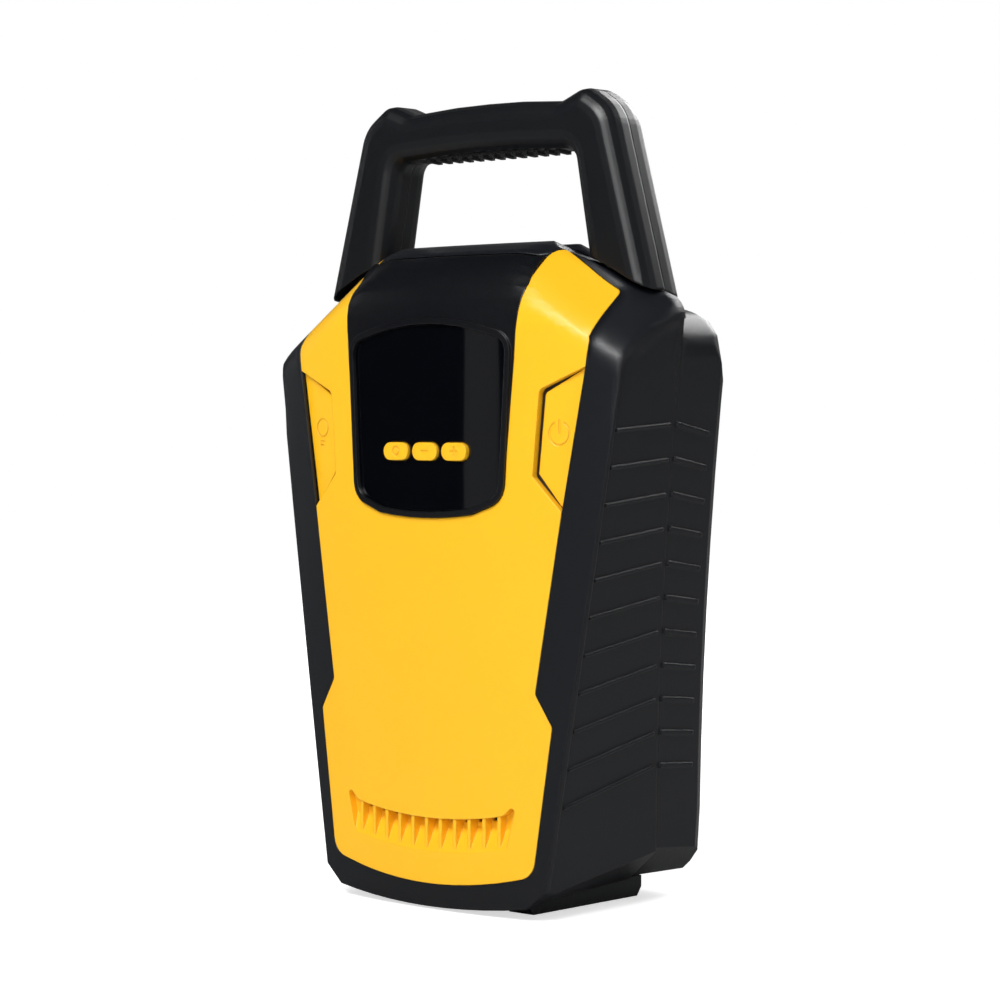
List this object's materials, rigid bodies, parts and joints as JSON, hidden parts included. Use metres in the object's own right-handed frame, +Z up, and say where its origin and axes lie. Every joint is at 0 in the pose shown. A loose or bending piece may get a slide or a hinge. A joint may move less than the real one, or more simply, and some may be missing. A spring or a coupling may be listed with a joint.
{
  "type": "jump starter pack",
  "caption": "Free-standing upright jump starter pack with a carry handle, display and keys, side push panels, a front air scoop, rear sockets behind a hinged door and a work light.",
  "frame": {"origin": "on the floor, under the middle of the pack's bounding box", "axes": "+Z up, the display front faces -Y, +X is the right-hand side as a viewer in front of it sees it"},
  "size_m": [0.2096, 0.115, 0.3553],
  "materials": {
    "case_plastic": "fine matte grain",
    "bezel_plastic": "fine satin",
    "cover_plastic": "smooth satin",
    "window_plastic": "polished",
    "handle_plastic": "satin",
    "grip_rubber": "matte",
    "foot_rubber": "matte",
    "port_plastic": "fine matte",
    "pin_steel": "drawn",
    "socket_red": "satin",
    "contact_brass": "plated",
    "socket_black": "satin",
    "lens_clear": "moulded",
    "reflector_chrome": "metallised",
    "circuit_board": "solder mask",
    "battery_plastic": "moulded",
    "terminal_metal": "plated",
    "foam": "closed cell",
    "red_insulation": "smooth",
    "black_insulation": "smooth",
    "relay_plastic": "moulded",
    "sink_aluminium": "extruded",
    "display_glass": "polished",
    "switch_plastic": "moulded",
    "fan_plastic": "moulded",
    "screw_steel": "blackened"
  },
  "bodies": {
    "case": {"front_shell": "case_plastic", "rear_shell": "case_plastic", "front_cover": "cover_plastic", "display_bezel": "bezel_plastic", "display_window": "window_plastic", "handle_front": "handle_plastic", "handle_rear": "handle_plastic", "grip_pad": "grip_rubber", "left_foot": "foot_rubber", "right_foot": "foot_rubber", "port_plate": "port_plastic", "door_pin": "pin_steel", "lead_socket": "socket_red", "lead_contacts": "contact_brass", "accessory_socket": "socket_black", "accessory_contact": "contact_brass", "usb_socket": "socket_black", "charge_inlet": "socket_black", "light_lens": "lens_clear", "light_reflector": "reflector_chrome", "light_board": "circuit_board", "battery": "battery_plastic", "battery_terminals": "terminal_metal", "battery_pads": "foam", "positive_cable": "red_insulation", "negative_cable": "black_insulation", "start_relay": "relay_plastic", "main_board": "circuit_board", "heat_sink": "sink_aluminium", "display_board": "circuit_board", "display_module": "display_glass", "key_switches": "switch_plastic", "side_boards": "circuit_board", "side_switches": "switch_plastic", "fan_frame": "fan_plastic", "case_screws": "screw_steel", "handle_bolts": "screw_steel", "handle_screws": "screw_steel", "cover_screws": "screw_steel", "board_screws": "screw_steel"},
    "mode_key": {"mode_button": "cover_plastic"},
    "minus_key": {"minus_button": "cover_plastic"},
    "plus_key": {"plus_button": "cover_plastic"},
    "power_panel": {"power_button": "cover_plastic"},
    "light_panel": {"light_button": "cover_plastic"},
    "door": {"port_door": "port_plastic"},
    "fan": {"fan_rotor": "fan_plastic"}
  },
  "joints": [
    {"name": "mode_key_press", "type": "slide", "parent": "case", "child": "mode_key", "axis": [0, 1, 0], "range_m": [0, 0.0006], "stiffness_N_per_m": 900},
    {"name": "minus_key_press", "type": "slide", "parent": "case", "child": "minus_key", "axis": [0, 1, 0], "range_m": [0, 0.0006], "stiffness_N_per_m": 900},
    {"name": "plus_key_press", "type": "slide", "parent": "case", "child": "plus_key", "axis": [0, 1, 0], "range_m": [0, 0.0006], "stiffness_N_per_m": 900},
    {"name": "power_panel_press", "type": "slide", "parent": "case", "child": "power_panel", "axis": [0, 1, 0], "range_m": [0, 0.0012], "stiffness_N_per_m": 900},
    {"name": "light_panel_press", "type": "slide", "parent": "case", "child": "light_panel", "axis": [0, 1, 0], "range_m": [0, 0.0012], "stiffness_N_per_m": 900},
    {"name": "door_hinge", "type": "hinge", "parent": "case", "child": "door", "pos_m": [0, 0.0313, 0.17596], "axis": [-1, 0, 0], "range_deg": [0, 90]},
    {"name": "fan_spin", "type": "hinge", "parent": "case", "child": "fan", "pos_m": [0, -0.0485, 0.041], "axis": [0, 1, 0], "continuous": true}
  ]
}
